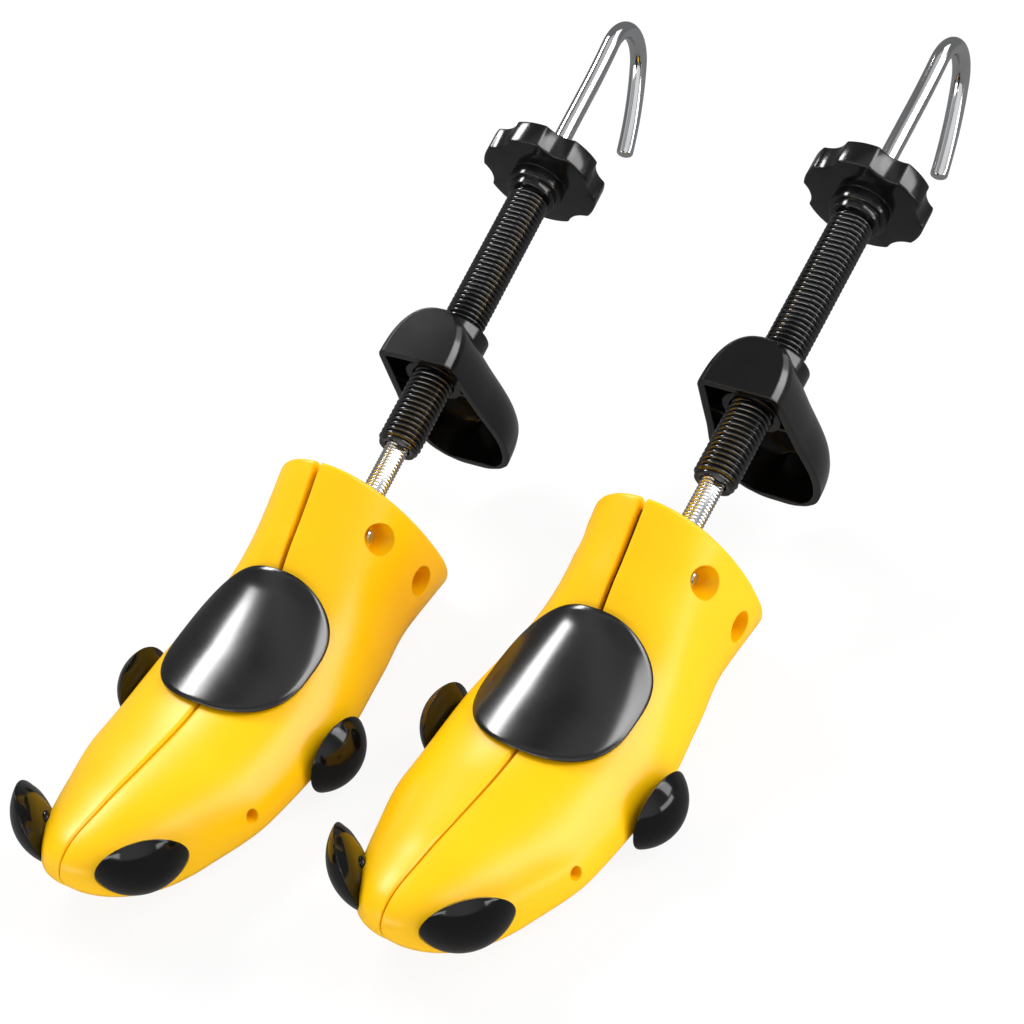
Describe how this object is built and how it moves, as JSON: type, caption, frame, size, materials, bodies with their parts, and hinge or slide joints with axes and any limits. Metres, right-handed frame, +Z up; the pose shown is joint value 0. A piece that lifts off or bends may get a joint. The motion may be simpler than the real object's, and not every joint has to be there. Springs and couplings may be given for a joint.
{
  "type": "pair of shoe trees",
  "caption": "Pair of two-way stretching shoe trees: split last-shaped foreparts with domed plugs and instep pads, threaded length tubes, scalloped wheels, heel blocks and hooked screws.",
  "frame": {"origin": "centre of the pair's bounding box, on the surface that the soles rest on", "axes": "+Z up, +Y from the toes to the hooks, +X to the right tree seen from behind the hooks"},
  "size_m": [0.1866, 0.3956, 0.1306],
  "materials": {
    "yellow_shell": "moulded, glossy",
    "black_plastic": "moulded, satin gloss",
    "black_pad": "moulded, soft gloss",
    "plated_rod": "bright plated",
    "steel_small": "bright turned",
    "cast_zinc": "die cast, bare"
  },
  "bodies": {
    "frame": {"left_nut_bracket": "cast_zinc", "left_square_nut": "steel_small", "left_guide_pin_upper": "steel_small", "left_guide_pin_lower": "steel_small", "right_nut_bracket": "cast_zinc", "right_square_nut": "steel_small", "right_guide_pin_upper": "steel_small", "right_guide_pin_lower": "steel_small"},
    "left_half_left_body": {"left_forepart_half_left": "yellow_shell", "left_toe_plug_left": "black_plastic", "left_ball_plug_left": "black_plastic", "left_follower_pin_left": "steel_small"},
    "left_half_right_body": {"left_forepart_half_right": "yellow_shell", "left_toe_plug_right": "black_plastic", "left_ball_plug_right": "black_plastic", "left_follower_pin_right": "steel_small"},
    "left_pad_body": {"left_instep_pad": "black_pad"},
    "left_spreader_body": {"left_spreader_plate": "cast_zinc", "left_neck_clip": "steel_small"},
    "left_screw_body": {"left_spreader_rod": "plated_rod", "left_shank_clip": "steel_small"},
    "left_tube_body": {"left_length_tube": "black_plastic", "left_hand_wheel": "black_plastic", "left_wheel_washer": "steel_small"},
    "left_block_body": {"left_heel_block": "black_plastic"},
    "right_half_left_body": {"right_forepart_half_left": "yellow_shell", "right_toe_plug_left": "black_plastic", "right_ball_plug_left": "black_plastic", "right_follower_pin_left": "steel_small"},
    "right_half_right_body": {"right_forepart_half_right": "yellow_shell", "right_toe_plug_right": "black_plastic", "right_ball_plug_right": "black_plastic", "right_follower_pin_right": "steel_small"},
    "right_pad_body": {"right_instep_pad": "black_pad"},
    "right_spreader_body": {"right_spreader_plate": "cast_zinc", "right_neck_clip": "steel_small"},
    "right_screw_body": {"right_spreader_rod": "plated_rod", "right_shank_clip": "steel_small"},
    "right_tube_body": {"right_length_tube": "black_plastic", "right_hand_wheel": "black_plastic", "right_wheel_washer": "steel_small"},
    "right_block_body": {"right_heel_block": "black_plastic"}
  },
  "joints": [
    {"name": "left_screw_turn", "type": "hinge", "parent": "left_spreader_body", "child": "left_screw_body", "pos_m": [-0.05159, -0.02619, 0.0466], "axis": [0.035, -0.9107, -0.4115], "range_deg": [0, 1800]},
    {"name": "left_spreader_feed", "type": "slide", "parent": "frame", "child": "left_spreader_body", "axis": [0.035, -0.9107, -0.4115], "range_m": [0, 0.00625]},
    {"name": "left_half_right_spread", "type": "slide", "parent": "frame", "child": "left_half_right_body", "axis": [0.9993, 0.0384, 0], "range_m": [0, 0.005]},
    {"name": "left_half_left_spread", "type": "slide", "parent": "frame", "child": "left_half_left_body", "axis": [-0.9993, -0.0384, 0], "range_m": [0, 0.005]},
    {"name": "left_pad_lift", "type": "slide", "parent": "frame", "child": "left_pad_body", "axis": [0, 0, 1], "range_m": [0, 0.0028]},
    {"name": "left_wheel_turn", "type": "hinge", "parent": "left_spreader_body", "child": "left_tube_body", "pos_m": [-0.05159, -0.02619, 0.0466], "axis": [0.035, -0.9107, -0.4115], "range_deg": [-3960, 10440]},
    {"name": "left_block_feed", "type": "slide", "parent": "left_spreader_body", "child": "left_block_body", "axis": [-0.035, 0.9107, 0.4115], "range_m": [-0.0209, 0.0551]},
    {"name": "right_screw_turn", "type": "hinge", "parent": "right_spreader_body", "child": "right_screw_body", "pos_m": [0.05159, 0.00041, 0.0466], "axis": [-0.035, -0.9107, -0.4115], "range_deg": [0, 1800]},
    {"name": "right_spreader_feed", "type": "slide", "parent": "frame", "child": "right_spreader_body", "axis": [-0.035, -0.9107, -0.4115], "range_m": [0, 0.00625]},
    {"name": "right_half_right_spread", "type": "slide", "parent": "frame", "child": "right_half_right_body", "axis": [0.9993, -0.0384, 0], "range_m": [0, 0.005]},
    {"name": "right_half_left_spread", "type": "slide", "parent": "frame", "child": "right_half_left_body", "axis": [-0.9993, 0.0384, 0], "range_m": [0, 0.005]},
    {"name": "right_pad_lift", "type": "slide", "parent": "frame", "child": "right_pad_body", "axis": [0, 0, 1], "range_m": [0, 0.0028]},
    {"name": "right_wheel_turn", "type": "hinge", "parent": "right_spreader_body", "child": "right_tube_body", "pos_m": [0.05159, 0.00041, 0.0466], "axis": [-0.035, -0.9107, -0.4115], "range_deg": [-3960, 10440]},
    {"name": "right_block_feed", "type": "slide", "parent": "right_spreader_body", "child": "right_block_body", "axis": [0.035, 0.9107, 0.4115], "range_m": [-0.0209, 0.0551]}
  ],
  "couplings": [
    {"joint": "left_screw_turn", "follows": "left_spreader_feed", "rad_per_m": 5026.5},
    {"joint": "left_half_right_spread", "follows": "left_spreader_feed", "ratio": 0.8},
    {"joint": "left_half_left_spread", "follows": "left_spreader_feed", "ratio": 0.8},
    {"joint": "left_pad_lift", "follows": "left_spreader_feed", "ratio": 0.448},
    {"joint": "left_block_feed", "follows": "left_wheel_turn", "m_per_rad": 0.00030239},
    {"joint": "right_screw_turn", "follows": "right_spreader_feed", "rad_per_m": 5026.5},
    {"joint": "right_half_right_spread", "follows": "right_spreader_feed", "ratio": 0.8},
    {"joint": "right_half_left_spread", "follows": "right_spreader_feed", "ratio": 0.8},
    {"joint": "right_pad_lift", "follows": "right_spreader_feed", "ratio": 0.448},
    {"joint": "right_block_feed", "follows": "right_wheel_turn", "m_per_rad": 0.00030239}
  ]
}
